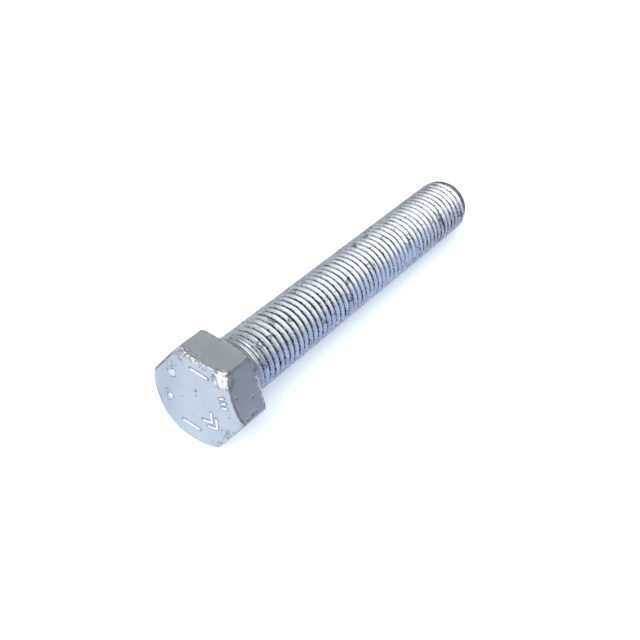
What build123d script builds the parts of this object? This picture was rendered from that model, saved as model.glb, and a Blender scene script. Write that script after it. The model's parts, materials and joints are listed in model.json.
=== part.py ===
"""Hexagon head screw, M24 x 3 x 160, threaded right up to the head.

The real screw is one forging. It is written here as its named regions, which meet face to face:
head, raised head marks, washer face, neck, thread run-out, threaded shank and point.
X is the screw's axis, with the head at -X and the point at +X. The origin is the centre of the
bearing face, and +Z is square to one pair of wrench flats.
"""
from build123d import *
import math
import os

# Thread
thread_diameter = 23.8          # over the crests
thread_pitch = 3.0
thread_depth = 1.75             # crest to root
crest_width = 0.49
root_width = 0.5
groove_angle = 29.6             # degrees from +Y to a groove's centre line, in the plane x = 0
spare_turns = 2                 # turns made past each end of a stretch before it is cut square

# Shank, measured along X from the bearing face
screw_length = 160.0
neck_diameter = 23.3
neck_length = 5.5
underhead_fillet = 1.0
runout_length = 5.5             # where the grooves deepen from nothing to full depth
crest_lead = 0.8                # where the crests rise from the neck's diameter to their own
point_length = 5.0
point_diameter = 20.2           # flat end of the point
point_taper = 3.6               # length of the tapered end

# Head
head_height = 15.0              # bearing face to crown, washer face included
across_flats = 35.1
corner_radius = 1.2             # rounding of the six edges between the flats
crown_flat_diameter = 31.6      # flat middle of the crown
crown_setback = 2.4             # how far the crown falls away at the corners
rear_chamfer_radial = 0.8       # chamfer of the corners on the bearing side
rear_chamfer_axial = 0.45
washer_diameter = 34.6
washer_height = 0.8
washer_edge_round = 0.25

# Raised marks on the crown, placed by Y and Z
mark_height = 0.35
stroke_width = 0.9
bar_length = 7.6
upper_bar = (-0.5, 12.8)
lower_bar = (0.2, -11.4)
chevron_angle = 210.0           # direction from the centre, degrees from +Y towards +Z
chevron_distances = (9.6, 12.4)
chevron_arm = 4.2
tick_angles = (143.0, 151.0, 159.0)
tick_distance = 13.4
tick_length = 2.4
diamonds = ((30.0, 12.4, 3.4), (-24.0, 11.4, 2.6))      # angle, distance, width across points

crest_radius = thread_diameter / 2
root_radius = crest_radius - thread_depth
neck_radius = neck_diameter / 2
hex_back = -washer_height
crown = -head_height
runout_end = neck_length + runout_length
point_start = screw_length - point_length


def section_plane(x):
    """Plane square to the screw at x, with its own x and y along Y and Z."""
    return Plane(origin=(x, 0, 0), x_dir=(0, 1, 0), z_dir=(1, 0, 0))


def turned(*profile):
    """Solid of revolution about X from lines and arcs in the XZ half plane, closed along the axis."""
    outline = Wire(profile)
    closing = Edge.make_line(outline @ 1, outline @ 0)
    return revolve(Face(Wire([*outline.edges(), closing])), Axis.X, 360)


def turned_corners(*corners):
    """Solid of revolution about X through (x, radius) corners joined by straight lines."""
    points = [Vector(x, 0, radius) for x, radius in corners]
    return turned(*[Edge.make_line(a, b) for a, b in zip(points, points[1:])])


def polar(radius, angle):
    """Point at a radius and an angle in degrees."""
    return Vector(radius * math.cos(math.radians(angle)), radius * math.sin(math.radians(angle)))


def thread_profile():
    """One turn's outline, from the edge of one groove to the edge of the next: (along the axis, radius)."""
    flank = (thread_pitch - crest_width - root_width) / 2
    root_end = root_width / 2
    crest_start = root_end + flank
    return (
        (-root_end, root_radius),
        (root_end, root_radius),
        (crest_start, crest_radius),
        (crest_start + crest_width, crest_radius),
        (thread_pitch - root_end, root_radius),
    )


def thread_turn(base):
    """The helical edges of one turn about Z, whose groove is centred on angle 0 at the height base."""
    return [
        Pos(0, 0, base + along) * Edge.make_helix(thread_pitch, thread_pitch, radius)
        for along, radius in thread_profile()
    ]


def thread_end(edge, base):
    """Two faces that close a thread: a screw surface inside the groove's edge, and a flat one at angle 0."""
    low = Vector(0, 0, base - root_width / 2)
    high = low + Vector(0, 0, thread_pitch)
    outline = [Vector(radius, 0, base + along) for along, radius in thread_profile()]
    return [
        Face.make_surface_from_curves(Edge.make_line(low, high), edge),
        Face(Wire.make_polygon([low, *outline, high], close=True)),
    ]


def threaded_rod(start, end):
    """Right-hand threaded rod between two stations along X, every stretch in step with the others."""
    length = end - start
    bottom = -spare_turns * thread_pitch
    count = math.ceil(length / thread_pitch) + 2 * spare_turns
    turns = [thread_turn(bottom + i * thread_pitch) for i in range(count)]
    bands = [Face.make_surface_from_curves(a, b) for turn in turns for a, b in zip(turn, turn[1:])]
    ends = thread_end(turns[0][0], bottom) + thread_end(turns[-1][-1], bottom + count * thread_pitch)
    rod = Solid(Shell(bands + ends))
    stretch = Pos(0, 0, length / 2) * Cylinder(thread_diameter, length)
    turned_by = groove_angle + 360 * start / thread_pitch
    return section_plane(start) * Rot(0, 0, turned_by) * (rod & stretch).solid()


def hex_head():
    """Hexagonal head with a crown that rolls off at the corners."""
    hexagon = RegularPolygon(across_flats / 2, 6, major_radius=False)
    hexagon = fillet(hexagon.vertices(), corner_radius)
    prism = extrude(section_plane(crown) * hexagon, hex_back - crown)
    corner_distance = across_flats / math.sqrt(3) - corner_radius * (2 / math.sqrt(3) - 1)
    flat_radius = crown_flat_diameter / 2
    rim = Vector(crown, 0, flat_radius)
    corner_front = Vector(crown + crown_setback, 0, corner_distance)
    corner_back = Vector(hex_back - rear_chamfer_axial, 0, corner_distance)
    chamfer_end = Vector(hex_back, 0, corner_distance - rear_chamfer_radial)
    envelope = turned(
        Edge.make_line(Vector(crown, 0, 0), rim),
        Edge.make_tangent_arc(rim, Vector(0, 0, 1), corner_front),
        Edge.make_line(corner_front, corner_back),
        Edge.make_line(corner_back, chamfer_end),
        Edge.make_line(chamfer_end, Vector(hex_back, 0, 0)),
    )
    return prism & envelope


def raised(shape):
    """Raise a flat shape, drawn in Y and Z, from the crown."""
    return extrude(section_plane(crown) * shape, -mark_height)


def head_bars():
    """Two straight bars, one above and one below the middle of the crown."""
    bar = SlotOverall(bar_length, stroke_width)
    return Compound([raised(Pos(*place) * bar).solid() for place in (upper_bar, lower_bar)])


def chevron(distance):
    """V-shaped stroke that points away from the middle of the crown."""
    tip = polar(distance, chevron_angle)
    arms = [tip - polar(chevron_arm, chevron_angle + side * 45) for side in (-1, 1)]
    path = Wire([Edge.make_line(arms[0], tip), Edge.make_line(tip, arms[1])])
    return make_face(path.offset_2d(stroke_width / 2).edges())


def head_marks():
    """Plain geometric marks: two chevrons, three ticks and two diamonds."""
    shapes = [chevron(distance) for distance in chevron_distances]
    tick = SlotOverall(tick_length, stroke_width)
    for angle in tick_angles:
        shapes.append(Pos(*polar(tick_distance, angle)) * Rot(0, 0, angle) * tick)
    for angle, distance, width in diamonds:
        shapes.append(Pos(*polar(distance, angle)) * Rot(0, 0, angle) * RegularPolygon(width / 2, 4))
    return Compound([raised(shape).solid() for shape in shapes])


def washer_face():
    """Thin round boss that carries the bearing face, with the neck's root through its middle."""
    inner = neck_radius + underhead_fillet
    outline = Rectangle(washer_height, washer_diameter / 2 - inner, align=(Align.MIN, Align.MIN))
    outline = Pos(hex_back, inner) * outline
    ring = revolve(Plane.XZ * outline, Axis.X, 360)
    front_edges = ring.edges().filter_by(GeomType.CIRCLE).group_by(Axis.X)[-1]
    return fillet(front_edges.sort_by(SortBy.RADIUS)[-1], washer_edge_round)


def underhead_neck():
    """Plain neck that flares into the head through the underhead fillet."""
    flare = neck_radius + underhead_fillet
    return turned(
        Edge.make_line(Vector(hex_back, 0, 0), Vector(hex_back, 0, flare)),
        Edge.make_line(Vector(hex_back, 0, flare), Vector(0, 0, flare)),
        Edge.make_tangent_arc(
            Vector(0, 0, flare), Vector(0, 0, -1), Vector(underhead_fillet, 0, neck_radius)
        ),
        Edge.make_line(Vector(underhead_fillet, 0, neck_radius), Vector(neck_length, 0, neck_radius)),
        Edge.make_line(Vector(neck_length, 0, neck_radius), Vector(neck_length, 0, 0)),
    )


def thread_runout():
    """Stretch where the grooves deepen along a cone from the neck to their full depth."""
    core = turned_corners(
        (neck_length, 0), (neck_length, neck_radius), (runout_end, root_radius), (runout_end, 0)
    )
    rise = turned_corners(
        (neck_length, 0), (neck_length, neck_radius), (neck_length + crest_lead, crest_radius + 0.05),
        (runout_end, crest_radius + 0.05), (runout_end, 0)
    )
    return (threaded_rod(neck_length, runout_end) & rise) + core


def thread_point():
    """Last turns of the thread, tapered to the flat end."""
    taper_start = screw_length - point_taper
    slope = (crest_radius - point_diameter / 2) / point_taper
    envelope = turned_corners(
        (point_start, 0), (point_start, crest_radius + slope * (taper_start - point_start)),
        (screw_length, point_diameter / 2), (screw_length, 0)
    )
    return threaded_rod(point_start, screw_length) & envelope


parts = {
    "hex_head": hex_head(),
    "head_bars": head_bars(),
    "head_marks": head_marks(),
    "washer_face": washer_face(),
    "underhead_neck": underhead_neck(),
    "thread_runout": thread_runout(),
    "threaded_shank": threaded_rod(runout_end, point_start),
    "thread_point": thread_point(),
}

os.makedirs("parts", exist_ok=True)
for name, shape in parts.items():
    export_step(shape, f"parts/{name}.step")
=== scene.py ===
import json
import math

import bmesh
import bpy
import numpy as np
from mathutils import Matrix, Vector


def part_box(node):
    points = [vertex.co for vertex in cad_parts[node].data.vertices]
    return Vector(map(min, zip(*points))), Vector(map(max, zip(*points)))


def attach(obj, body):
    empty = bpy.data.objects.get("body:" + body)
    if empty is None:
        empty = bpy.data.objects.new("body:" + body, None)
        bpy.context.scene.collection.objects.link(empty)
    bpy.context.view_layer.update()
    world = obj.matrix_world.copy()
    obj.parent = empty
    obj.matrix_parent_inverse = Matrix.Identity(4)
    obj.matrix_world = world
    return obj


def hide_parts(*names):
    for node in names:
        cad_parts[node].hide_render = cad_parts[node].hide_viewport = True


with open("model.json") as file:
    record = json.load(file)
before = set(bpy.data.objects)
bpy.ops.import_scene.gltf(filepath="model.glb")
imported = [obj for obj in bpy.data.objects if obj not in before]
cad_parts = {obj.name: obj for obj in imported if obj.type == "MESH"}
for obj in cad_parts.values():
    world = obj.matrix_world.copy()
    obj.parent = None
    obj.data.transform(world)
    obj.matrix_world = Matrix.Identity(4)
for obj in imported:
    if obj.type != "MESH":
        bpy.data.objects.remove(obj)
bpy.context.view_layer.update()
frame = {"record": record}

MM = 0.001

# ---------------- sizes, from the frame

head_low, head_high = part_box("hex_head")
washer_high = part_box("washer_face")[1]
neck_low, neck_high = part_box("underhead_neck")
mark_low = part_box("head_marks")[0]
mounts = {mount["name"]: mount for mount in frame["record"]["mounts"]}

crown_x = head_low.x
hex_back = head_high.x
apothem = head_high.z
corner_distance = head_high.y
washer_radius = washer_high.z
flare_radius = neck_high.z
neck_radius = mounts["plain_neck"]["dims"]["r_mm"] * MM
neck_end = neck_high.x
runout_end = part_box("thread_runout")[1].x
crest_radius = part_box("threaded_shank")[1].z
point_start, tip_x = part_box("thread_point")[0].x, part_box("thread_point")[1].x
mark_height = crown_x - mark_low.x

# The thread's form, and the small shapes of the head
pitch = 3.0 * MM
root_radius = crest_radius - 1.75 * MM
root_half_width = 0.25 * MM
groove_angle = math.radians(29.6)       # from +Y to a groove's centre, in the plane x = 0
crest_lead = 0.8 * MM
tip_radius = 10.1 * MM
tip_taper = 3.6 * MM
tip_edge_round = 0.4 * MM
tip_dish = 0.35 * MM
corner_round = 1.2 * MM
crown_flat_radius = 15.8 * MM
crown_setback = 2.4 * MM
front_edge_round = 0.22 * MM
rear_chamfer_radial = 0.8 * MM
rear_chamfer_axial = 0.45 * MM

# The raised marks, in mm and degrees: angles go from +Y towards +Z, and pairs are Y and Z
stroke_width = 1.05 * MM
bar_half_length = 3.8
bar_middles = ((-0.5, 12.8), (0.2, -11.4))
chevron_angle = 210
chevron_distances = (9.6, 12.4)
chevron_arm = 4.2
chevron_half_spread = 45
tick_angles = (143, 151, 159)
tick_distance = 13.4
tick_half_length = 1.2
tick_width_share = 0.85                 # of the other strokes' width
diamond_marks = ((30, 12.4, 3.4), (-24, 11.4, 2.6))     # angle, distance, width across points
diamond_reach = 0.42                    # from its middle to its side, over its width
mark_sunk = 0.06 * MM                   # how far a mark's foot reaches into the crown

worn_corner = math.radians(120)         # the head's most battered corner, from +Y towards +Z


# ---------------- noise and shape helpers

# The large odd factors of an integer hash, which scatter neighbouring lattice points
X_FACTOR, Y_FACTOR, Z_FACTOR, SEED_FACTOR = 374761393, 668265263, 2147483647, 1274126177
FIRST_STIR, SECOND_STIR = 1103515245, 668265263
LOW_32_BITS, LOW_24_BITS = 0xFFFFFFFF, 0xFFFFFF


def lattice_value(cell, seed):
    """Repeatable random numbers from 0 to 1 at whole-number lattice points."""
    n = cell[:, 0] * X_FACTOR + cell[:, 1] * Y_FACTOR + cell[:, 2] * Z_FACTOR + seed * SEED_FACTOR
    n = n & LOW_32_BITS
    n = ((n ^ (n >> 13)) * FIRST_STIR) & LOW_32_BITS
    n = ((n ^ (n >> 16)) * SECOND_STIR) & LOW_32_BITS
    return ((n ^ (n >> 15)) & LOW_24_BITS) / float(LOW_24_BITS)


def noise(points, size, seed):
    """Smooth noise from -1 to 1, with features about as large as size."""
    scaled = points / size
    cell = np.floor(scaled).astype(np.int64)
    f = scaled - cell
    f = f * f * (3 - 2 * f)
    total = np.zeros(len(points))
    for corner in np.ndindex(2, 2, 2):
        weight = np.prod(np.where(corner, f, 1 - f), axis=1)
        total += weight * lattice_value(cell + np.array(corner), seed)
    return total * 2 - 1


def smooth_step(low, high, value):
    """0 up to low, 1 from high on, with a smooth rise between. A low above high turns it round."""
    t = np.clip((value - low) / (high - low), 0, 1)
    return t * t * (3 - 2 * t)


def soft_max(a, b, width):
    """The larger of two values, with the crease between them rounded over width."""
    h = np.clip(0.5 + 0.5 * (a - b) / width, 0, 1)
    return b + (a - b) * h + 0.5 * width * h * (1 - h)


def soft_min(a, b, width):
    return -soft_max(-a, -b, width)


def bump_at(points, centre, radius):
    """1 at the centre, fading to nothing at about twice the radius."""
    away = np.linalg.norm(points - np.array(centre), axis=1) / radius
    return np.exp(-away ** 2)


def add_object(name, data):
    made = bpy.data.objects.new(name, data)
    bpy.context.scene.collection.objects.link(made)
    return made


def to_mesh(name, points, faces):
    """A new smooth-shaded object from points and faces."""
    mesh = bpy.data.meshes.new(name)
    mesh.from_pydata([tuple(p) for p in points], [], faces)
    mesh.update()
    mesh.polygons.foreach_set("use_smooth", [True] * len(mesh.polygons))
    return add_object(name, mesh)


def ring_faces(first, second, columns):
    """Quads between two closed rings of points, given where each ring starts in the list of points."""
    after = [(j + 1) % columns for j in range(columns)]
    return [(first + j, first + k, second + k, second + j) for j, k in enumerate(after)]


def vertex_places(piece):
    places = np.empty(len(piece.data.vertices) * 3)
    piece.data.vertices.foreach_get("co", places)
    return places.reshape(-1, 3)


def vertex_normals(piece):
    normals = np.empty(len(piece.data.vertices) * 3, np.float32)
    piece.data.vertex_normals.foreach_get("vector", normals)
    return normals.reshape(-1, 3).astype(float)


def paint(piece, name, values):
    """Keeps a number from 0 to 1 on each vertex, for the material to read."""
    layer = piece.data.attributes.new(name, "FLOAT", "POINT")
    layer.data.foreach_set("value", np.clip(values, 0, 1).astype(np.float32))


# ---------------- the shank

# How far the creases of the thread's form are rounded over
root_round = 0.5 * MM
crest_round = 0.25 * MM
runout_round = 0.3 * MM
envelope_round = 0.1 * MM

# How much wear takes off the crests, and how uneven it leaves them, in mm
crest_wear = 0.10
crest_unevenness = 0.05

# A knock's outline: how far it reaches, and how much longer it is round the bolt than along it, both
# over its size, and how steep its sides are
knock_reach = 2.5
knock_stretch = 1.4
knock_steepness = 1.3

# Knocks on the thread: station and angle of the centre, size and depth, in mm and degrees
thread_knocks = (
    (136.9, 144, 2.0, 0.95), (119.5, 132, 0.7, 0.5), (109.4, 143, 0.7, 0.5), (84.5, 133, 1.3, 0.6),
    (65.0, 153, 1.0, 0.5), (47.1, 156, 0.8, 0.6), (26.0, 94, 1.1, 0.6), (32.3, 113, 0.7, 0.4),
    (87.4, 68, 0.9, 0.5), (14.1, 114, 0.8, 0.4), (101.0, 99, 0.7, 0.4), (68.2, 124, 0.7, 0.5),
)


def scattered_knocks(count, seed):
    """Small knocks in seeded places all round the thread, as (station, angle, size, depth)."""
    draw = np.random.default_rng(seed)
    return np.column_stack([
        draw.uniform(7, 156, count) * MM,
        draw.uniform(-math.pi, math.pi, count),
        draw.uniform(0.35, 0.8, count) * MM,
        draw.uniform(0.12, 0.4, count) * MM,
    ])


placed = [(x * MM, math.radians(angle), size * MM, depth * MM) for x, angle, size, depth in thread_knocks]
all_knocks = np.vstack([placed, scattered_knocks(170, seed=24)])


def envelope_radius(x):
    """Radius over the crests along the shank, with the underhead fillet and the tapered tip."""
    fillet = flare_radius - neck_radius
    along = np.clip(x / fillet, 0, 1)
    flare = flare_radius - fillet * np.sqrt(1 - (1 - along) ** 2)
    rise = neck_radius + (crest_radius - neck_radius) * smooth_step(neck_end, neck_end + crest_lead, x)
    body = np.where(x < fillet, flare, rise)
    taper = tip_radius + (crest_radius - tip_radius) / tip_taper * (tip_x - x)
    body = soft_min(body, taper, 0.3 * MM)
    into_edge = np.clip((x - (tip_x - tip_edge_round)) / tip_edge_round, 0, 1)
    return body - tip_edge_round * (1 - np.sqrt(1 - into_edge ** 2))


def groove_distance(x, angle):
    """Distance along the axis from the middle of the nearest groove."""
    turns = x / pitch - (angle - groove_angle) / (2 * math.pi)
    return pitch * np.abs(turns - np.round(turns))


def bar_places(x, angle):
    """Places on a smooth bar as thick as the thread."""
    return np.stack([x, crest_radius * np.cos(angle), crest_radius * np.sin(angle)], axis=1)


def knock_shapes(x, angle):
    """How deep the knocks go at each point of a smooth bar, and how far inside one the point is (0 to 1)."""
    depth, inside = np.zeros(len(x)), np.zeros(len(x))
    ragged = 1 + 0.5 * noise(bar_places(x, angle), 0.7 * MM, 3)
    for station, knock_angle, size, deepest in all_knocks:
        near = np.abs(x - station) < knock_reach * size
        turn = (angle[near] - knock_angle + math.pi) % (2 * math.pi) - math.pi
        away = ((x[near] - station) / size) ** 2 + (turn * crest_radius / (knock_stretch * size)) ** 2
        share = np.exp(-(away * ragged[near]) ** knock_steepness)
        depth[near] = np.maximum(depth[near], deepest * share)
        inside[near] = np.maximum(inside[near], share)
    return depth, inside


def shank_radius(x, angle):
    """Radius of the whole shank at stations x and angles about the axis."""
    away = groove_distance(x, angle)
    flank = root_radius + (away - root_half_width) * math.sqrt(3)
    profile = soft_min(soft_max(flank, root_radius, root_round), crest_radius, crest_round)
    deepening = (root_radius - neck_radius) * (x - neck_end) / (runout_end - neck_end)
    profile = soft_max(profile, neck_radius + np.minimum(deepening, 0), runout_round)
    radius = soft_min(profile, envelope_radius(x), envelope_round)
    on_bar = bar_places(x, angle)
    uneven = crest_unevenness * noise(on_bar, 4 * MM, 1) + crest_unevenness * noise(on_bar, 0.9 * MM, 2)
    height = np.clip((radius - root_radius) / (crest_radius - root_radius), 0, 1)
    inside = smooth_step(0, 1.5 * MM, x) * smooth_step(tip_x, tip_x - 0.5 * MM, x)
    radius = radius - inside * height * (crest_wear - uneven) * MM
    knocked = crest_radius + 0.05 * MM - inside * knock_shapes(x, angle)[0]
    return soft_min(radius, np.maximum(knocked, root_radius), envelope_round)


# The shank's grid: steps in one turn, turns made past each end, and lines across half a pitch, as
# shares of the pitch, which are closer together where the thread's form bends
TURN_STEPS = 156
SPARE_TURNS = 2
HALF_PITCH_PLACES = np.array([0, 0.22, 0.42, 0.8, 1.12, 1.26, 1.5]) / 3.0


def shank_stretch(name, start, end):
    """One stretch of the shank, on a grid that follows the thread's helix."""
    across = np.concatenate([HALF_PITCH_PLACES[:-1], 1 - HALF_PITCH_PLACES[:0:-1]])
    columns = len(across)
    first = math.floor(start / pitch) - SPARE_TURNS
    turns = math.ceil(end / pitch) + SPARE_TURNS - first
    step = np.arange(turns * TURN_STEPS + 1)
    angle = step * 2 * math.pi / TURN_STEPS + groove_angle
    x = ((first + step / TURN_STEPS)[:, None] + across[None, :]) * pitch
    around = np.broadcast_to(angle[:, None], x.shape)
    radius = shank_radius(x.ravel(), around.ravel()).reshape(x.shape)
    points = np.stack([x, radius * np.cos(around), radius * np.sin(around)], axis=-1).reshape(-1, 3)
    faces = []
    for i in range(len(step) - 1):
        row = i * columns
        for a in range(row, row + columns - 1):
            faces.append((a, a + 1, a + columns + 1, a + columns))
        next_turn = (i + TURN_STEPS) * columns
        if i + TURN_STEPS + 1 < len(step):
            last = row + columns - 1
            faces.append((last, next_turn, next_turn + columns, last + columns))
    piece = to_mesh(name, points, faces)
    cut_ends(piece, start, end)
    set_shank_normals(piece)
    places = vertex_places(piece)
    paint(piece, "knocked", knock_shapes(places[:, 0], np.arctan2(places[:, 2], places[:, 1]))[1])
    return piece


def cut_ends(piece, start, end):
    """Cuts a stretch square at both ends and closes them, with a shallow dish in the bolt's own end."""
    work = bmesh.new()
    work.from_mesh(piece.data)
    for place, outward in ((start, -1), (end, 1)):
        geometry = work.verts[:] + work.edges[:] + work.faces[:]
        cut = bmesh.ops.bisect_plane(work, geom=geometry, dist=1e-7, plane_co=(place, 0, 0),
                                     plane_no=(outward, 0, 0), clear_outer=True)
        rim = [e for e in cut["geom_cut"] if isinstance(e, bmesh.types.BMEdge)]
        cap = bmesh.ops.contextual_create(work, geom=rim)["faces"][0]
        if place == tip_x:
            dish(work, cap)
    bmesh.ops.recalc_face_normals(work, faces=work.faces[:])
    work.to_mesh(piece.data)
    work.free()


DISH_RINGS = (0.97, 0.92, 0.84, 0.72, 0.58, 0.42, 0.26, 0.12)      # shares of the rim's radius


def dish(work, cap):
    """Replaces the flat end by rings that fall gently towards the middle."""
    rim = list(cap.verts)
    work.faces.remove(cap)
    outer = rim
    for share in DISH_RINGS:
        fall = tip_dish * smooth_step(1.0, 0.45, share)
        inner = [work.verts.new((v.co.x - fall, v.co.y * share, v.co.z * share)) for v in rim]
        for i in range(len(rim)):
            j = (i + 1) % len(rim)
            work.faces.new((outer[i], outer[j], inner[j], inner[i])).smooth = True
        outer = inner
    middle = work.verts.new((tip_x - tip_dish, 0, 0))
    for i in range(len(rim)):
        work.faces.new((outer[i], outer[(i + 1) % len(rim)], middle)).smooth = True


CAP_CORNERS = 12        # a face with more corners than this is a flat cap


def set_shank_normals(piece):
    """Gives the thread's surface its exact normals, so that neighbouring stretches meet unseen."""
    mesh = piece.data
    places = vertex_places(piece)
    x, angle = places[:, 0], np.arctan2(places[:, 2], places[:, 1])
    radius = shank_radius(x, angle)
    step, turn = 0.02 * MM, 0.002
    along = (shank_radius(x + step, angle) - shank_radius(x - step, angle)) / (2 * step)
    around = (shank_radius(x, angle + turn) - shank_radius(x, angle - turn)) / (2 * turn) / radius
    normal = np.stack([-along, np.cos(angle) + around * np.sin(angle),
                       np.sin(angle) - around * np.cos(angle)], axis=1)
    normal /= np.linalg.norm(normal, axis=1)[:, None]
    on_side = np.abs(np.hypot(places[:, 1], places[:, 2]) - radius) < step
    corners = vertex_normals(piece)
    corners[on_side] = normal[on_side]
    vertex_of = np.empty(len(mesh.loops), np.int32)
    mesh.loops.foreach_get("vertex_index", vertex_of)
    corners = corners[vertex_of]
    for face in mesh.polygons:
        if len(face.vertices) > CAP_CORNERS:
            for corner in face.loop_indices:
                corners[corner] = face.normal
    mesh.normals_split_custom_set([tuple(n) for n in corners])


# ---------------- where the raised marks are

def polar(distance, degrees):
    return distance * np.array([math.cos(math.radians(degrees)), math.sin(math.radians(degrees))])


def mark_strokes():
    """The marks' strokes as (path, width) in Y and Z: two chevrons and three ticks."""
    strokes = []
    for distance in chevron_distances:
        tip = polar(distance, chevron_angle)
        path = [tip - polar(chevron_arm, chevron_angle - chevron_half_spread), tip,
                tip - polar(chevron_arm, chevron_angle + chevron_half_spread)]
        strokes.append((np.array(path) * MM, stroke_width))
    for degrees in tick_angles:
        path = [polar(tick_distance + offset, degrees) for offset in (-tick_half_length, 0, tick_half_length)]
        strokes.append((np.array(path) * MM, tick_width_share * stroke_width))
    return strokes


def bar_strokes():
    """The two straight bars, as (path, width) in Y and Z."""
    offsets = (-bar_half_length, 0, bar_half_length)
    return [(np.array([(y + offset, z) for offset in offsets]) * MM, stroke_width) for y, z in bar_middles]


def diamonds():
    """The diamonds, as (centre, width, turn in degrees)."""
    return [(polar(distance, turn) * MM, width * MM, turn) for turn, distance, width in diamond_marks]


def distance_to_marks(places):
    """How far each point is, in Y and Z, from the side of the nearest raised mark."""
    flat = places[:, 1:]
    nearest = np.full(len(flat), 1.0)
    for path, width in bar_strokes() + mark_strokes():
        for a, b in zip(path, path[1:]):
            share = np.clip((flat - a) @ (b - a) / ((b - a) @ (b - a)), 0, 1)
            away = np.linalg.norm(flat - a - share[:, None] * (b - a), axis=1)
            nearest = np.minimum(nearest, away - width / 2)
    for centre, width, _ in diamonds():
        nearest = np.minimum(nearest, np.linalg.norm(flat - centre, axis=1) - diamond_reach * width)
    return nearest


# ---------------- the head

def hexagon_radius(angle):
    """Distance from the axis to the side of the hexagon, with its rounded corners."""
    from_flat = np.abs(angle % (math.pi / 3) - math.pi / 6)
    from_corner = math.pi / 6 - from_flat
    centre = (apothem - corner_round) / math.cos(math.pi / 6)
    reach = np.sqrt(np.maximum(corner_round ** 2 - (centre * np.sin(from_corner)) ** 2, 0))
    on_flat = np.tan(from_flat) * apothem <= (apothem - corner_round) * math.tan(math.pi / 6)
    return np.where(on_flat, apothem / np.cos(from_flat), centre * np.cos(from_corner) + reach)


def crown_station(radius):
    """Where the crown's surface is at a radius: flat, then rolling off towards the corners."""
    reach = corner_distance - crown_flat_radius
    roll = (reach ** 2 + crown_setback ** 2) / (2 * crown_setback)
    out = np.clip(radius - crown_flat_radius, 0, reach)
    return crown_x + roll - np.sqrt(roll ** 2 - out ** 2)


def quadratic(p0, p1, p2, t):
    """A place along the curve from p0 to p2 that p1 pulls outward."""
    return (1 - t) ** 2 * p0 + 2 * t * (1 - t) * p1 + t ** 2 * p2


def head_angles(per_side=90):
    """Angles round the head, closer together at the corners."""
    spread = np.linspace(0, 1, per_side, endpoint=False)
    bunched = spread - 0.09 * np.sin(2 * math.pi * spread)
    return np.concatenate([(side + bunched) * math.pi / 3 for side in range(6)])


CROWN_RINGS = 72
SIDE_RINGS = 52


def head_rings(angle):
    """(station, radius) rings from the middle of the crown, over the edge, down the flats, in at the back."""
    side = hexagon_radius(angle)
    edge = front_edge_round
    rings = []
    for share in np.linspace(0, 1, CROWN_RINGS + 1)[1:]:
        radius = (side - edge) * share
        rings.append((crown_station(radius), radius))
    on_crown, on_side = crown_station(side - edge), crown_station(side) + edge
    for t in (0.25, 0.5, 0.75, 1.0):
        x = quadratic(on_crown, crown_station(side), on_side, t)
        rings.append((x, quadratic(side - edge, side, side, t)))
    chamfer_start = hex_back - rear_chamfer_axial
    for share in np.linspace(0, 1, SIDE_RINGS + 1)[1:]:
        x = on_side + (hex_back - on_side) * share
        cut = rear_chamfer_radial * np.clip((x - chamfer_start) / rear_chamfer_axial, 0, 1)
        rings.append((x, np.minimum(side, corner_distance - cut)))
    rear = np.minimum(side, corner_distance - rear_chamfer_radial)
    for share in (0.985, 0.95, 0.9, 0.8, 0.6, 0.3):
        rings.append((np.full_like(angle, hex_back), rear * share))
    return rings


# Small dents on the head: centre, size and depth, in mm
head_dents = (
    ((-15, 0.1, 4.5), 0.7, 0.10), ((-15, -0.3, 2.4), 0.5, 0.14), ((-15, -0.2, -6.8), 0.35, 0.12),
    ((-15, -14.6, 1.4), 0.45, 0.2), ((-15, 5.5, -1.5), 0.4, 0.05), ((-9.6, 2.6, 17.6), 0.4, 0.12),
    ((-6.9, -10.1, 17.6), 0.5, 0.3), ((-12.7, -14.9, 9.2), 0.45, 0.16), ((-5.2, -16.7, 6.2), 0.5, 0.16),
    ((-8.2, -19.2, 1.9), 0.6, 0.2), ((-6.1, -19.3, 1.7), 0.45, 0.16), ((-1.5, -10.3, 17.5), 0.9, 0.3),
    ((-15, -17.0, -6.2), 0.7, 0.2), ((-15, -15.4, -9.2), 0.5, 0.15), ((-15, -18.6, -2.4), 0.6, 0.2),
    ((-1.2, -7.4, 17.6), 0.6, 0.2), ((-10.8, -19.6, 1.2), 0.5, 0.2), ((-15, 11.1, 8.9), 0.5, 0.15),
    ((-15, 10.9, -6.9), 0.5, 0.15), ((-15, -11.9, -12.6), 0.6, 0.2), ((-14.3, -13.4, 10.5), 0.6, 0.2),
)

# Places on the crown with fine ragged scratches: Y and Z of the middle and the size, in mm
scuffed_places = (
    (7.6, 15.2, 3.0), (11.5, 9.5, 2.4), (-14.5, -6.0, 2.8), (-10.5, -12.5, 2.6), (12.0, -3.0, 2.0),
)

# The battered stretches of the front edge: where each one starts, is full, is still full and has ended,
# in degrees from the worn corner, and how battered it is
battered_stretches = ((-75, -60, 8, 32, 1.0), (54, 64, 108, 124, 0.55))

# The worn corner's middle, back from the crown and out from the axis, and its size
corner_back, corner_out, corner_size = 0.8 * MM, 18.2 * MM, 3.4 * MM

# How deep each kind of damage goes
chip_depth = 0.40 * MM
facet_depth = 0.36 * MM
scratch_depth = 0.06 * MM
ripple_depth = 0.012 * MM

# How far the coat is darkened on each wrench flat, from the one at 30 degrees round towards +Z: a varied
# tone, with painted shade on the flat at 150 degrees
flat_tone_and_shade = np.array([0.15, 0.06, 0.85, 0.3, 0.1, 0.35])


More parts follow.
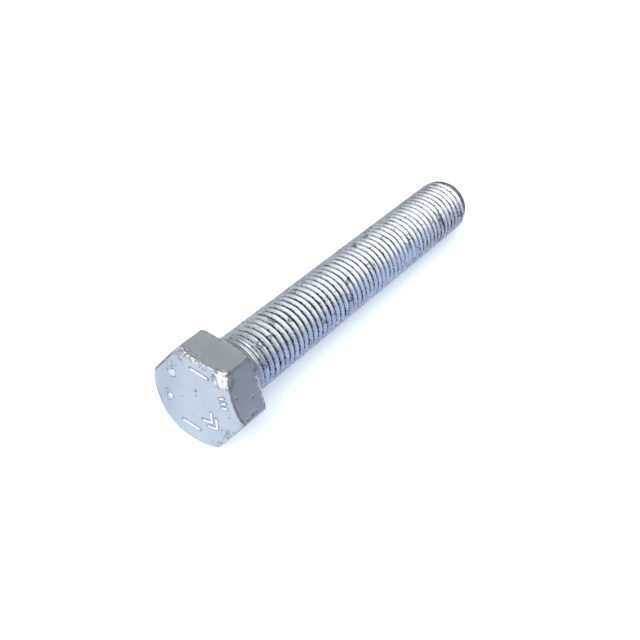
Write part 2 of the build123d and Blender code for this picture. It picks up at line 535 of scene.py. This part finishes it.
def scuffs(places):
    """Short ragged scratches, from 0 to 1, in a few places on the crown."""
    amount = np.zeros(len(places))
    for y, z, size in scuffed_places:
        amount = np.maximum(amount, bump_at(places, (crown_x, y * MM, z * MM), size * MM))
    lines = smooth_step(0.30, 0.10, np.abs(noise(places, 1.5 * MM, 21) + 0.4 * noise(places, 0.6 * MM, 22)))
    return lines * smooth_step(0.3, 0.7, amount + 0.35 * noise(places, 1.2 * MM, 23))


def dent_shapes(places):
    """Each dent's greatest depth, and how far inside it each point is, from 0 to 1."""
    ragged = 1 + 0.8 * noise(places, 0.5 * MM, 19)
    return [(deepest * MM, np.clip(bump_at(places, [c * MM for c in centre], size * MM) * ragged, 0, 1))
            for centre, size, deepest in head_dents]


class HeadSurface:
    """The head's points, with where each one lies and what happened to the head there.

    edge is the distance from the front edge, to_rear that from a line just ahead of the rear edge, and
    on_side is 1 on the wrench flats and 0 on the crown.
    """

    def __init__(self, places):
        self.places = places
        self.angle = np.arctan2(places[:, 2], places[:, 1])
        self.radius = np.hypot(places[:, 1], places[:, 2])
        self.side = hexagon_radius(self.angle)
        self.edge = np.hypot(self.side - self.radius, places[:, 0] - crown_station(self.side))
        self.on_side = smooth_step(self.side - 0.35 * MM, self.side - 0.1 * MM, self.radius)
        self.to_rear = np.abs(hex_back - 0.25 * MM - places[:, 0])
        self.ragged = noise(places, 1.7 * MM, 11) + 0.6 * noise(places, 0.6 * MM, 12)
        self.fine = noise(places, 0.45 * MM, 18)
        self.battered = self.battered_share()
        self.chips = self.edge_chips()
        corner_middle = (crown_x + corner_back, corner_out * math.cos(worn_corner),
                         corner_out * math.sin(worn_corner))
        self.corner = bump_at(places, corner_middle, corner_size)
        self.dents = dent_shapes(places)
        self.scratches = scuffs(places)

    def battered_share(self):
        """How battered the front edge is at each point's angle."""
        turn = np.degrees((self.angle - worn_corner + math.pi) % (2 * math.pi) - math.pi)
        share = np.zeros(len(turn))
        for start, full, still_full, end, most in battered_stretches:
            share += most * smooth_step(start, full, turn) * smooth_step(end, still_full, turn)
        return share

    def edge_chips(self):
        """Chips along the front edge, larger and more of them where it is battered."""
        reach = (0.45 + 1.0 * self.battered) * MM
        amount = 0.25 + 0.75 * self.battered
        return np.exp(-(self.edge / reach) ** 2) * smooth_step(-0.1, 0.8, self.ragged) * amount


def head_depth(head):
    """How far the surface is knocked or worn in."""
    rough = noise(head.places, 1.2 * MM, 13) + 0.8 * noise(head.places, 0.5 * MM, 14)
    facets = head.corner * np.clip(0.2 + rough, 0, 1.4)
    depth = chip_depth * head.chips + facet_depth * facets
    for deepest, share in head.dents:
        depth += deepest * share
    depth += scratch_depth * head.scratches
    depth += ripple_depth * (noise(head.places, 5 * MM, 15) + noise(head.places, 1.4 * MM, 16))
    return depth


def head_wear(head):
    """How bare the metal is: rubbed at the worn corner, and bright in the chips and along the rear edge."""
    rubbed = smooth_step(0.18, 0.6, head.corner) * smooth_step(-0.15, 0.25, head.ragged + 0.6 * head.fine)
    in_chips = 0.7 * smooth_step(0.15, 0.45, head.chips)
    in_chips = in_chips * smooth_step(-0.4, 0.1, head.fine + 0.3 * head.ragged)
    wear = np.maximum(rubbed, in_chips)
    wear *= 1 - 0.8 * head.on_side * smooth_step(0.3 * MM, 0.6 * MM, head.edge)
    rear = np.exp(-((head.to_rear - 0.1 * MM) / (0.3 * MM)) ** 2) * smooth_step(-0.1, -0.5, head.ragged)
    return np.maximum(wear, 0.8 * rear)


def chip_dirt(head):
    """Dirt in the chips, round them and just behind the front edge, where the edge is battered."""
    under = np.exp(-((head.edge - 0.6 * MM) / (0.4 * MM)) ** 2) * head.on_side
    under = under * smooth_step(-0.3, 0.3, head.ragged)
    inside = smooth_step(0.15, 0.4, head.chips) * smooth_step(0.0, -0.3, head.fine)
    rims = smooth_step(0.02, 0.10, head.chips) * smooth_step(0.30, 0.15, head.chips)
    rims = rims * smooth_step(-0.5, 0.1, head.fine)
    return np.max([under, inside, rims], axis=0) * np.minimum(1.5 * head.battered, 1)


def mark_foot_shade(head):
    """Painted shade along the feet of the raised marks, in a wider band round the diamonds."""
    away = distance_to_marks(head.places)
    outline = smooth_step(0.45 * MM, 0.1 * MM, away) * smooth_step(-0.7, 0.1, head.ragged)
    outline = outline * smooth_step(crown_x + 0.3 * MM, crown_x + 0.1 * MM, head.places[:, 0])
    by_diamonds = smooth_step(1.0 * MM, 0.4 * MM, away) * smooth_step(7 * MM, 8 * MM, head.places[:, 1])
    return np.maximum(outline, 1.2 * by_diamonds * smooth_step(-0.1, 0.35, head.ragged))


def rear_edge_dirt_and_shade(head):
    # Dirt and painted shade along the rear edge of the flats.
    line = np.exp(-(head.to_rear / (0.5 * MM)) ** 2)
    return line * head.on_side * smooth_step(-0.2, 0.4, head.ragged)


def side_edge_dirt(head):
    """Dirt along the six edges between the flats."""
    to_corner = np.abs((head.angle + math.pi / 6) % (math.pi / 3) - math.pi / 6) * corner_distance
    line = np.exp(-(to_corner / (0.3 * MM)) ** 2) * smooth_step(-0.1, 0.5, noise(head.places, 2.2 * MM, 20))
    return line * smooth_step(0.3 * MM, 1.0 * MM, head.edge) * head.on_side


def front_edge_shade(head):
    """Painted shade as a dark line along the front edge where it isn't battered, wider towards +Y."""
    width = (0.6 + 0.3 * smooth_step(0, 10 * MM, head.places[:, 1])) * MM
    line = np.exp(-(head.edge / width) ** 4)
    return line * smooth_step(-1.4, -0.2, head.ragged) * (1 - 0.8 * head.battered)


def rolled_corner_shade(head):
    """Painted shade where the crown rolls off at the corners."""
    fallen = head.places[:, 0] - crown_x
    return (smooth_step(0.7 * MM, 1.7 * MM, fallen)
            * smooth_step(head.side, head.side - 0.2 * MM, head.radius))


def head_grime_and_shade(head):
    """How dark the coat is painted: the strongest of all the kinds of dirt and of painted shade."""
    spots = np.max([share for _, share in head.dents], axis=0)
    pocks = 0.85 * smooth_step(0.05, 0.4, head.corner) * smooth_step(-0.15, -0.5, head.ragged)
    # dirt, with painted shade at the marks' feet, along the front and rear edges and at the rolled corners
    return np.max([
        pocks,
        0.75 * smooth_step(0.3, 0.75, spots),
        0.95 * chip_dirt(head),
        0.7 * mark_foot_shade(head),
        0.7 * side_edge_dirt(head),
        front_edge_shade(head),
        0.8 * rear_edge_dirt_and_shade(head),
        0.6 * head.scratches,
        0.45 * rolled_corner_shade(head),
    ], axis=0)


def face_tone_and_shade(head):
    """How far the coat is darkened towards DULL_BLUE: one value for each flat, and painted shade on the
    crown, more towards +Y.
    """
    on_flat = flat_tone_and_shade[(head.angle % (2 * math.pi) // (math.pi / 3)).astype(int)]
    on_crown = 0.42 + 0.2 * smooth_step(2 * MM, 14 * MM, head.places[:, 1])
    return np.where(head.radius > head.side - 0.15 * MM, on_flat, on_crown)


def build_head():
    """The hexagonal head: rings of points from the crown to the back, then knocked in and painted."""
    angle = head_angles()
    columns = len(angle)
    rings = head_rings(angle)
    points = [(crown_x, 0.0, 0.0)]
    for x, radius in rings:
        points.extend(zip(x, radius * np.cos(angle), radius * np.sin(angle)))
    points.append((hex_back, 0.0, 0.0))
    end = len(points) - 1
    last = end - columns
    faces = [(0, 1 + (j + 1) % columns, 1 + j) for j in range(columns)]
    for row in range(1, last, columns):
        faces += ring_faces(row, row + columns, columns)
    faces += [(last + j, last + (j + 1) % columns, end) for j in range(columns)]
    piece = to_mesh("head", points, faces)
    places = vertex_places(piece)
    head = HeadSurface(places)
    paint(piece, "wear", head_wear(head))
    # dirt and painted shade
    paint(piece, "grime_and_shade", head_grime_and_shade(head))
    # a darker tone on the faces, with painted shade on the crown and on the flat at 150 degrees
    paint(piece, "dull", face_tone_and_shade(head))
    fade = smooth_step(hex_back, hex_back - 0.5 * MM, places[:, 0])
    knocked_in = places - vertex_normals(piece) * (head_depth(head) * fade)[:, None]
    piece.data.vertices.foreach_set("co", knocked_in.ravel())
    piece.data.update()
    return piece


def build_washer_face():
    """The round boss under the head, a ring with a rounded rim."""
    edge = 0.3 * MM
    turn = np.linspace(0, math.pi / 2, 6)
    back_middle = 0.5 * (flare_radius + washer_radius)
    outline = [(hex_back, radius) for radius in (flare_radius, back_middle, washer_radius)]
    outline += [(-edge + edge * math.sin(t), washer_radius - edge + edge * math.cos(t)) for t in turn]
    outline += [(0, r) for r in np.linspace(washer_radius - edge, flare_radius, 10)[1:]]
    columns = 240
    points, faces = [], []
    for x, radius in outline:
        for angle in np.arange(columns) * 2 * math.pi / columns:
            points.append((x, radius * math.cos(angle), radius * math.sin(angle)))
    for i in range(len(outline)):
        faces += ring_faces(i * columns, (i + 1) % len(outline) * columns, columns)
    return to_mesh("bearing_boss", points, faces)


# ---------------- raised marks on the crown

def capped_rings(count, columns):
    """Faces of a closed shape: count points in rings, each joined to the next, with a cap at both ends."""
    faces = []
    for row in range(0, count - columns, columns):
        faces += ring_faces(row, row + columns, columns)
    faces.append(tuple(range(columns))[::-1])
    faces.append(tuple(range(count - columns, count)))
    return faces


def bead(path, width, height):
    """Points and faces of a soft-topped stroke along a path on the crown, with rounded ends."""
    path = np.array(path)
    lengths = np.concatenate([[0], np.cumsum(np.linalg.norm(np.diff(path, axis=0), axis=1))])
    half, total = width / 2, lengths[-1]
    ends = half * (1 - np.cos(np.linspace(0.15, math.pi / 2, 7)))
    middle = np.linspace(half, total - half, max(3, int(total / (0.25 * MM))))
    stations = np.concatenate([ends[:-1], middle, total - ends[:-1][::-1]])
    across = np.linspace(-1, 1, 11)
    points = []
    for s in stations:
        here, before, after = (np.array([np.interp(s + offset, lengths, path[:, c]) for c in (0, 1)])
                               for offset in (0, -0.2 * MM, 0.2 * MM))
        side = np.array([before[1] - after[1], after[0] - before[0]]) / np.linalg.norm(after - before)
        into = min(s, total - s, half) / half
        swell = math.sqrt(max(1 - (1 - into) ** 2, 0.02))
        for v in across:
            y, z = here + side * half * swell * v
            rise = (height * swell + mark_sunk) * math.sqrt(1 - v ** 2)
            points.append((crown_x + mark_sunk - rise, y, z))
    return points, capped_rings(len(points), len(across))


def stud(centre, width, turn):
    """Points and faces of a small diamond with a domed top."""
    rings, columns = 7, 32
    bow = 1.3               # of the sides: 1 is straight, 2 a circle
    points = []
    for i in range(rings):
        share = math.cos(0.5 * math.pi * i / rings)
        rise = math.sin(0.5 * math.pi * i / rings)
        for angle in np.arange(columns) * 2 * math.pi / columns:
            reach = (abs(math.cos(angle)) ** bow + abs(math.sin(angle)) ** bow) ** (-1 / bow)
            y, z = np.array(centre) + 0.5 * width * share * reach * polar(1, math.degrees(angle) + turn)
            points.append((crown_x + mark_sunk - (mark_height + mark_sunk) * rise, y, z))
    return points, capped_rings(len(points), columns)


def joined(name, shapes):
    """One piece from several closed shapes, faces outward."""
    points, faces = [], []
    for some_points, some_faces in shapes:
        faces += [tuple(len(points) + i for i in face) for face in some_faces]
        points += some_points
    piece = to_mesh(name, points, faces)
    work = bmesh.new()
    work.from_mesh(piece.data)
    bmesh.ops.recalc_face_normals(work, faces=work.faces[:])
    work.to_mesh(piece.data)
    work.free()
    return piece


def build_bars():
    """The two straight bars."""
    return joined("bars", [bead(path, width, mark_height) for path, width in bar_strokes()])


def build_marks():
    """The chevrons, ticks and diamonds."""
    shapes = [bead(path, width, mark_height) for path, width in mark_strokes()]
    return joined("marks", shapes + [stud(*diamond) for diamond in diamonds()])


# ---------------- materials

class Wiring:
    """Short ways to add and join the nodes of one material. Sizes are in metres."""

    def __init__(self, name):
        self.material = bpy.data.materials.new(name)
        self.material.use_nodes = True
        self.tree = self.material.node_tree
        self.shader = self.tree.nodes["Principled BSDF"]
        self.place = self.add("ShaderNodeTexCoord").outputs["Object"]

    def add(self, kind, inputs=(), **settings):
        made = self.tree.nodes.new(kind)
        for name, value in settings.items():
            setattr(made, name, value)
        for name, value in dict(inputs).items():
            self.feed(made.inputs[name], value)
        return made

    def feed(self, socket, value):
        if isinstance(value, bpy.types.NodeSocket):
            self.tree.links.new(value, socket)
        else:
            socket.default_value = value

    def noise(self, size, seed, detail=3):
        """Cloudy noise from 0 to 1, with features about as large as size. Each use has its own seed."""
        inputs = {"Vector": self.place, "Scale": 1 / size, "W": seed, "Detail": detail, "Roughness": 0.6}
        return self.add("ShaderNodeTexNoise", inputs, noise_dimensions="4D").outputs[0]

    def cells(self, size):
        """Distance to the nearest of scattered points, in cells."""
        return self.add("ShaderNodeTexVoronoi", {"Vector": self.place, "Scale": 1 / size}).outputs["Distance"]

    def ramp(self, value, low, high, at_low, at_high):
        inputs = {"Value": value, "From Min": low, "From Max": high, "To Min": at_low, "To Max": at_high}
        return self.add("ShaderNodeMapRange", inputs, interpolation_type="SMOOTHSTEP").outputs[0]

    def step(self, value, low, high):
        """0 up to low, 1 from high on."""
        return self.ramp(value, low, high, 0.0, 1.0)

    def math(self, operation, a, b):
        return self.add("ShaderNodeMath", {0: a, 1: b}, operation=operation).outputs[0]

    def plus(self, a, b):
        return self.math("ADD", a, b)

    def minus(self, a, b):
        return self.math("SUBTRACT", a, b)

    def times(self, a, b):
        return self.math("MULTIPLY", a, b)

    def blend(self, factor, a, b):
        return self.add("ShaderNodeMix", {0: factor, 6: a, 7: b}, data_type="RGBA").outputs[2]

    def blend_value(self, factor, a, b):
        return self.add("ShaderNodeMix", {0: factor, 2: a, 3: b}, data_type="FLOAT").outputs[0]

    def attribute(self, name):
        return self.add("ShaderNodeAttribute", attribute_name=name).outputs["Fac"]

    def vector_math(self, operation, a, b=(0, 0, 0)):
        return self.add("ShaderNodeVectorMath", {0: a, 1: b}, operation=operation).outputs

    def radius(self):
        """Distance from the bolt's axis."""
        from_axis = self.vector_math("MULTIPLY", self.place, (0, 1, 1))["Vector"]
        return self.vector_math("LENGTH", from_axis)["Value"]


# Colours of the coat
PALE_ZINC = (0.50, 0.54, 0.585, 1)
BLUE_ZINC = (0.43, 0.475, 0.54, 1)
LAVENDER = (0.45, 0.45, 0.56, 1)
DULL_GREEN = (0.46, 0.52, 0.53, 1)
DULL_BLUE = (0.25, 0.275, 0.34, 1)
DULL_LAVENDER = (0.34, 0.33, 0.41, 1)
# a painted reflection of bluish shade, for the thread's -Y side
REFLECTED_SHADE_BLUE = (0.35, 0.405, 0.56, 1)
DARK_BROWN_GREY = (0.20, 0.19, 0.185, 1)

# Colours of rubbed and bare metal, of a painted highlight, and of dirt and painted shade
HIGHLIGHT_ZINC = (0.70, 0.74, 0.80, 1)
BARE_BRIGHT = (0.82, 0.84, 0.87, 1)
DULL_STEEL = (0.11, 0.108, 0.115, 1)
BROWN_DIRT_AND_SHADE = (0.085, 0.075, 0.085, 1)
GROOVE_DIRT_AND_SHADE = (0.030, 0.034, 0.044, 1)

# roughness and metal where dirt and painted shade lie
DIRT_AND_SHADE_ROUGHNESS = 0.85
COAT_METALLIC = 0.85
DIRT_AND_SHADE_METALLIC = 0.1
COAT_SPECULAR = 0.5

# The thread's groove fill, dirt and painted shade in the grooves: how high it stands over the root away from
# the low-fill side and on it, how much lower it is near the head, how far its edge fades, and how far it
# stays below the tip's surface
high_groove_fill = 0.78 * MM
low_groove_fill = 0.40 * MM
missing_by_head = 0.18 * MM
groove_fill_fade = 0.06 * MM
below_tip_surface = 0.35 * MM
low_fill_side = (0, -0.45, 0.893)          # square to the axis, towards the side where the groove fill is lowest

# The ring of dull steel round the bolt's end: where it is full, where it ends, and how ragged it is
end_ring_full = 1.9 * MM
end_ring_width = 2.6 * MM
end_ring_ragged = 1.2 * MM


def zinc_coat(w):
    """The coat's own colour, roughness and relief: cloudy, mottled and finely grained."""
    cloud = w.noise(7 * MM, 1, detail=2)
    mottle = w.noise(1.3 * MM, 2, detail=4)
    colour = w.blend(w.ramp(cloud, 0.30, 0.70, 0.25, 1.0), BLUE_ZINC, PALE_ZINC)
    colour = w.blend(w.ramp(w.noise(9 * MM, 3), 0.52, 0.70, 0.0, 0.5), colour, LAVENDER)
    colour = w.blend(w.ramp(w.noise(6 * MM, 4), 0.55, 0.72, 0.0, 0.4), colour, DULL_GREEN)
    colour = w.blend(w.ramp(mottle, 0.56, 0.76, 0.0, 0.35), colour, BLUE_ZINC)
    roughness = w.ramp(mottle, 0.3, 0.7, 0.30, 0.42)
    grain = w.times(w.noise(0.3 * MM, 5, detail=2), 0.35)
    relief = w.plus(w.times(mottle, 0.65), grain)
    return colour, roughness, relief


def specks(w, size, threshold):
    """Small dark spots where the coat has pitted, in patches. A higher threshold leaves fewer patches."""
    ragged = w.times(w.noise(0.35 * MM, 6), 0.5)
    spot = w.step(w.plus(w.cells(size), ragged), 0.36, 0.27)
    return w.times(spot, w.step(w.noise(5 * MM, 7), threshold, threshold + 0.06))


def finish_coat(w, colour, roughness, relief, depth, dirt_and_shade):
    """Joins a coat's parts to its shader. Dirt and painted shade are neither metal nor shiny."""
    w.feed(w.shader.inputs["Base Color"], colour)
    w.feed(w.shader.inputs["Roughness"], w.blend_value(dirt_and_shade, roughness, DIRT_AND_SHADE_ROUGHNESS))
    w.feed(w.shader.inputs["Metallic"], w.ramp(dirt_and_shade, 0.0, 1.0, COAT_METALLIC, DIRT_AND_SHADE_METALLIC))
    w.feed(w.shader.inputs["Specular IOR Level"], w.ramp(dirt_and_shade, 0.0, 0.8, COAT_SPECULAR, 0.0))
    bump = w.add("ShaderNodeBump", {"Height": relief, "Distance": depth, "Strength": 1.0}).outputs[0]
    w.feed(w.shader.inputs["Normal"], bump)
    return w.material


def head_material():
    """Zinc coat with dark specks, bright worn places, dirt where the head was knocked, and painted shade on
    the faces, at the marks' feet and along the edges.
    """
    w = Wiring("zinc_coat_head")
    colour, roughness, relief = zinc_coat(w)
    # a darker tone on the faces, with painted shade on the crown and on the flat at 150 degrees
    colour = w.blend(w.attribute("dull"), colour, DULL_BLUE)
    spots = specks(w, 2.6 * MM, 0.52)
    colour = w.blend(spots, colour, BROWN_DIRT_AND_SHADE)
    wear = w.attribute("wear")
    colour = w.blend(wear, colour, BARE_BRIGHT)
    roughness = w.minus(roughness, w.times(wear, 0.12))
    # dirt, and painted shade at the marks' feet, along the front and rear edges and at the rolled corners
    grime_and_shade = w.times(w.attribute("grime_and_shade"), w.ramp(w.noise(0.7 * MM, 8), 0.35, 0.6, 0.6, 1.0))
    colour = w.blend(grime_and_shade, colour, BROWN_DIRT_AND_SHADE)
    relief = w.minus(relief, w.times(spots, 0.8))
    return finish_coat(w, colour, roughness, relief, 0.03 * MM, w.math("MAXIMUM", grime_and_shade, spots))


def thread_coat(w, along, across, near_tip):
    """The thread's coat: a painted reflection of bluish shade on the -Y side, a darker brown-grey towards +Y,
    and dull at both ends.
    """
    colour, roughness, relief = zinc_coat(w)
    # The -Y side is painted bluer and darker: a painted reflection of the shaded floor, and painted shade.
    reflected_shade_side = w.step(across, -0.62, -0.95)
    colour = w.blend(reflected_shade_side, colour, REFLECTED_SHADE_BLUE)
    # darker and browner towards +Y
    colour = w.blend(w.ramp(across, 0.50, 0.85, 0.0, 0.45), colour, DARK_BROWN_GREY)
    colour = w.blend(w.ramp(along, 3 * MM, 14 * MM, 0.5, 0.0), colour, DULL_LAVENDER)
    # lavender near the tip, stronger on the -Y side with its painted shade
    colour = w.blend(w.times(near_tip, w.ramp(reflected_shade_side, 0.0, 1.0, 0.1, 0.7)), colour, DULL_LAVENDER)
    mottle = w.ramp(w.noise(0.55 * MM, 16, detail=4), 0.46, 0.60, 0.0, 1.0)
    # darker blue mottle, stronger on the -Y side as part of its painted shade
    colour = w.blend(w.times(mottle, w.ramp(reflected_shade_side, 0.0, 1.0, 0.30, 0.60)), colour, DULL_BLUE)
    return colour, roughness, relief


def end_ring(w, along):
    """The ragged ring round the bolt's end."""
    ragged_place = w.plus(along, w.times(w.noise(end_ring_ragged, 13), end_ring_ragged))
    return w.step(ragged_place, tip_x - end_ring_width, tip_x - end_ring_full)


def brown_flecks(w, low_fill_share):
    """Fine brown flecks in patches, fewer towards the low-fill side."""
    flecks = w.step(w.minus(w.noise(0.55 * MM, 11, detail=4), w.times(low_fill_share, 0.06)), 0.51, 0.58)
    return w.times(flecks, w.step(w.noise(4 * MM, 12), 0.40, 0.56))


def knock_rims(w, knocked):
    """Dirt round the rims of the knocks."""
    rim = w.times(w.step(knocked, 0.03, 0.25), w.step(knocked, 0.75, 0.35))
    return w.times(rim, w.ramp(w.noise(1.5 * MM, 17), 0.42, 0.58, 0.1, 0.85))


def groove_dirt_and_shade_radius(w, along, low_fill_share, near_tip, ring):
    """Distance from the axis up to which dirt and painted shade fill the grooves, ragged and with small
    knots.
    """
    ragged = w.plus(w.noise(0.7 * MM, 9, detail=5), w.times(w.noise(6 * MM, 10), 0.5))
    level = w.plus(w.ramp(ragged, 0.50, 1.00, -0.32 * MM, 0.36 * MM),
                   w.ramp(low_fill_share, 0.0, 1.0, root_radius + high_groove_fill, root_radius + low_groove_fill))
    level = w.plus(level, w.ramp(w.noise(1.1 * MM, 18), 0.58, 0.70, 0.0, 0.45 * MM))
    level = w.minus(level, w.ramp(along, 8 * MM, 30 * MM, missing_by_head, 0.0))
    level = w.plus(level, w.times(near_tip, w.ramp(low_fill_share, 0.2, 0.9, 0.30 * MM, 0.05 * MM)))
    surface = w.ramp(along, tip_x - tip_taper, tip_x, crest_radius, tip_radius)
    level = w.math("MINIMUM", level, w.minus(surface, below_tip_surface))
    return w.plus(level, w.times(ring, w.ramp(ragged, 0.68, 0.95, 0.0, 1.0 * MM)))


def thread_material():
    """Zinc coat with dirt and painted shade in the grooves, flecks, knocks and a ring of dull steel round the
    end.
    """
    w = Wiring("zinc_coat_thread")
    radius = w.radius()
    along, y, _ = w.add("ShaderNodeSeparateXYZ", {0: w.place}).outputs
    towards_low_fill = w.vector_math("DOT_PRODUCT", w.place, low_fill_side)["Value"]
    low_fill_share = w.step(w.math("DIVIDE", towards_low_fill, radius), 0.35, 1.0)
    near_tip = w.step(along, 110 * MM, 145 * MM)
    before_face = w.step(along, tip_x - tip_dish, tip_x - tip_dish - 0.2 * MM)
    ring = w.times(end_ring(w, along), before_face)
    knocked = w.attribute("knocked")
    level = groove_dirt_and_shade_radius(w, along, low_fill_share, near_tip, ring)
    # the grooves are painted dark below the fill level: dirt and painted shade
    dirt_and_shade = w.step(w.math("DIVIDE", w.minus(radius, level), groove_fill_fade), 1.0, -1.0)
    dirt_and_shade = w.times(dirt_and_shade, before_face)
    colour, roughness, relief = thread_coat(w, along, w.math("DIVIDE", y, radius), near_tip)
    colour = w.blend(w.times(ring, 0.9), colour, DULL_STEEL)
    colour = w.blend(w.times(brown_flecks(w, low_fill_share), 0.85), colour, BROWN_DIRT_AND_SHADE)
    colour = w.blend(w.ramp(knocked, 0.15, 0.7, 0.0, 0.4), colour, DULL_BLUE)
    colour = w.blend(knock_rims(w, knocked), colour, GROOVE_DIRT_AND_SHADE)
    # painted shade and dirt in the grooves
    colour = w.blend(dirt_and_shade, colour, GROOVE_DIRT_AND_SHADE)
    dullest = w.math("MAXIMUM", dirt_and_shade, w.times(ring, 0.7))
    return finish_coat(w, colour, roughness, relief, 0.03 * MM, dullest)


def mark_material():
    """Zinc coat with a painted highlight on top of the raised marks, and painted shade along their feet.

    The diamonds, which are past the step towards +Y, are less even and darker.
    """
    w = Wiring("zinc_coat_marks")
    colour, roughness, relief = zinc_coat(w)
    along, y, _ = w.add("ShaderNodeSeparateXYZ", {0: w.place}).outputs
    height = w.math("DIVIDE", w.minus(crown_x, along), mark_height)
    uneven = w.times(w.noise(0.9 * MM, 14), w.ramp(y, 6 * MM, 8 * MM, 0.5, 1.5))
    # painted highlight on the tops of the marks
    colour = w.blend(w.step(w.minus(height, uneven), 0.30, 0.70), colour, HIGHLIGHT_ZINC)
    # painted shade at the marks' feet
    foot = w.times(w.step(w.plus(height, uneven), 0.75, 0.45), 0.8)
    colour = w.blend(foot, colour, BROWN_DIRT_AND_SHADE)
    return finish_coat(w, colour, roughness, relief, 0.02 * MM, foot)


def boss_material():
    """Zinc coat with the rim of the bearing face rubbed bright in places, and specks."""
    w = Wiring("zinc_coat_boss")
    colour, roughness, relief = zinc_coat(w)
    rim = w.step(w.radius(), washer_radius - 0.9 * MM, washer_radius - 0.4 * MM)
    rubbed = w.times(rim, w.step(w.noise(1.6 * MM, 15), 0.38, 0.52))
    colour = w.blend(rubbed, colour, BARE_BRIGHT)
    spots = specks(w, 1.3 * MM, 0.36)
    colour = w.blend(spots, colour, BROWN_DIRT_AND_SHADE)
    return finish_coat(w, colour, roughness, relief, 0.03 * MM, spots)


# ---------------- the pieces

def finish_piece(piece, material, node):
    """Gives a piece its material, fixes it to the bolt and lets it stand for its CAD node."""
    piece.data.materials.append(material)
    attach(piece, "root")
    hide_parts(node)


thread_zinc = thread_material()
mark_zinc = mark_material()
finish_piece(build_head(), head_material(), "hex_head")
finish_piece(build_bars(), mark_zinc, "head_bars")
finish_piece(build_marks(), mark_zinc, "head_marks")
finish_piece(build_washer_face(), boss_material(), "washer_face")
finish_piece(shank_stretch("neck", neck_low.x, neck_end), thread_zinc, "underhead_neck")
finish_piece(shank_stretch("runout", neck_end, runout_end), thread_zinc, "thread_runout")
finish_piece(shank_stretch("thread", runout_end, point_start), thread_zinc, "threaded_shank")
finish_piece(shank_stretch("tip", point_start, tip_x), thread_zinc, "thread_point")


# ---------------- stage, light and camera

def look_at(thing, place, target, roll=0.0):
    """Puts a lamp or camera at a place and turns it to a target."""
    forward = (Vector(target) - Vector(place)).normalized()
    turn = forward.to_track_quat("-Z", "Y").to_matrix() @ Matrix.Rotation(roll, 3, "Z")
    thing.matrix_world = Matrix.Translation(place) @ turn.to_4x4()


def make_floor():
    """Large white sheet, tilted so that the bolt lies on its head's rear edge and its tip."""
    tilt = math.atan2(apothem - crest_radius, point_start - hex_back)
    half = 3.0          # metres
    corners = [(-half, -half, 0), (half, -half, 0), (half, half, 0), (-half, half, 0)]
    mesh = bpy.data.meshes.new("floor")
    mesh.from_pydata(corners, [], [(0, 1, 2, 3)])
    floor = add_object("floor", mesh)
    floor.matrix_world = Matrix.Translation((hex_back, 0, -apothem)) @ Matrix.Rotation(-tilt, 4, "Y")
    paper = bpy.data.materials.new("white_paper")
    paper.use_nodes = True
    shader = paper.node_tree.nodes["Principled BSDF"]
    shader.inputs["Base Color"].default_value = (0.80, 0.86, 0.94, 1)
    shader.inputs["Roughness"].default_value = 0.9
    shader.inputs["Emission Color"].default_value = (0.78, 0.88, 1.0, 1)
    shader.inputs["Emission Strength"].default_value = 0.32
    mesh.materials.append(paper)


def softbox(name, place, target, size, power, colour):
    data = bpy.data.lights.new(name, "AREA")
    data.shape = "RECTANGLE"
    data.size, data.size_y = size
    data.energy = power
    data.color = colour
    look_at(add_object(name, data), place, target)


def make_camera():
    """The camera, where the bolt is seen from above its head, with the head at the front."""
    data = bpy.data.cameras.new("camera")
    data.lens = 61.9
    data.sensor_width = 36
    data.clip_start = 0.01
    camera = add_object("camera", data)
    aim = Vector((54.3, -4.77, -2.76)) * MM
    azimuth, elevation, roll = math.radians(-152.137), math.radians(38.937), math.radians(10.93)
    distance = 421.4 * MM
    direction = Vector((math.cos(elevation) * math.cos(azimuth), math.cos(elevation) * math.sin(azimuth),
                        math.sin(elevation)))
    look_at(camera, aim + distance * direction, aim, roll)
    bpy.context.scene.camera = camera


ROOM_GREY = (0.56, 0.56, 0.55, 1)

# Patches of the room, each one laid over those before it: the direction of its middle, the cosines
# of the angles from there at which it starts and is full, and its colour
ROOM_PATCHES = (
    ((0.55, -0.82, 0.12), 0.10, 0.80, (0.05, 0.06, 0.08)),      # shaded wall behind, on the right
    ((0.69, -0.32, 0.65), 0.80, 0.97, (0.95, 0.95, 0.93)),      # lit ceiling beyond the bolt
    ((-0.86, -0.14, 0.46), 0.62, 0.95, (3.3, 3.25, 3.15)),      # wide window behind the camera
)


def make_room():
    """A soft grey room, with a shaded wall, a lit ceiling and a window."""
    world = bpy.data.worlds.new("room")
    world.use_nodes = True
    nodes, links = world.node_tree.nodes, world.node_tree.links
    direction = nodes.new("ShaderNodeTexCoord").outputs["Generated"]
    colour = nodes.new("ShaderNodeRGB").outputs[0]
    colour.default_value = ROOM_GREY
    for middle, start, full, shade in ROOM_PATCHES:
        facing = nodes.new("ShaderNodeVectorMath")
        facing.operation = "DOT_PRODUCT"
        facing.inputs[1].default_value = Vector(middle).normalized()
        links.new(direction, facing.inputs[0])
        share = nodes.new("ShaderNodeMapRange")
        share.interpolation_type = "SMOOTHSTEP"
        share.inputs["From Min"].default_value = start
        share.inputs["From Max"].default_value = full
        links.new(facing.outputs["Value"], share.inputs["Value"])
        mixed = nodes.new("ShaderNodeMix")
        mixed.data_type = "RGBA"
        links.new(share.outputs[0], mixed.inputs[0])
        links.new(colour, mixed.inputs[6])
        mixed.inputs[7].default_value = (*shade, 1)
        colour = mixed.outputs[2]
    links.new(colour, nodes["Background"].inputs["Color"])
    bpy.context.scene.world = world


make_floor()
make_room()
softbox("front_box", (-0.80, -0.30, 0.95), (0.05, 0, 0), (1.1, 1.1), 8, (1.0, 1.0, 1.0))
make_camera()
bpy.context.scene.view_settings.view_transform = "Standard"
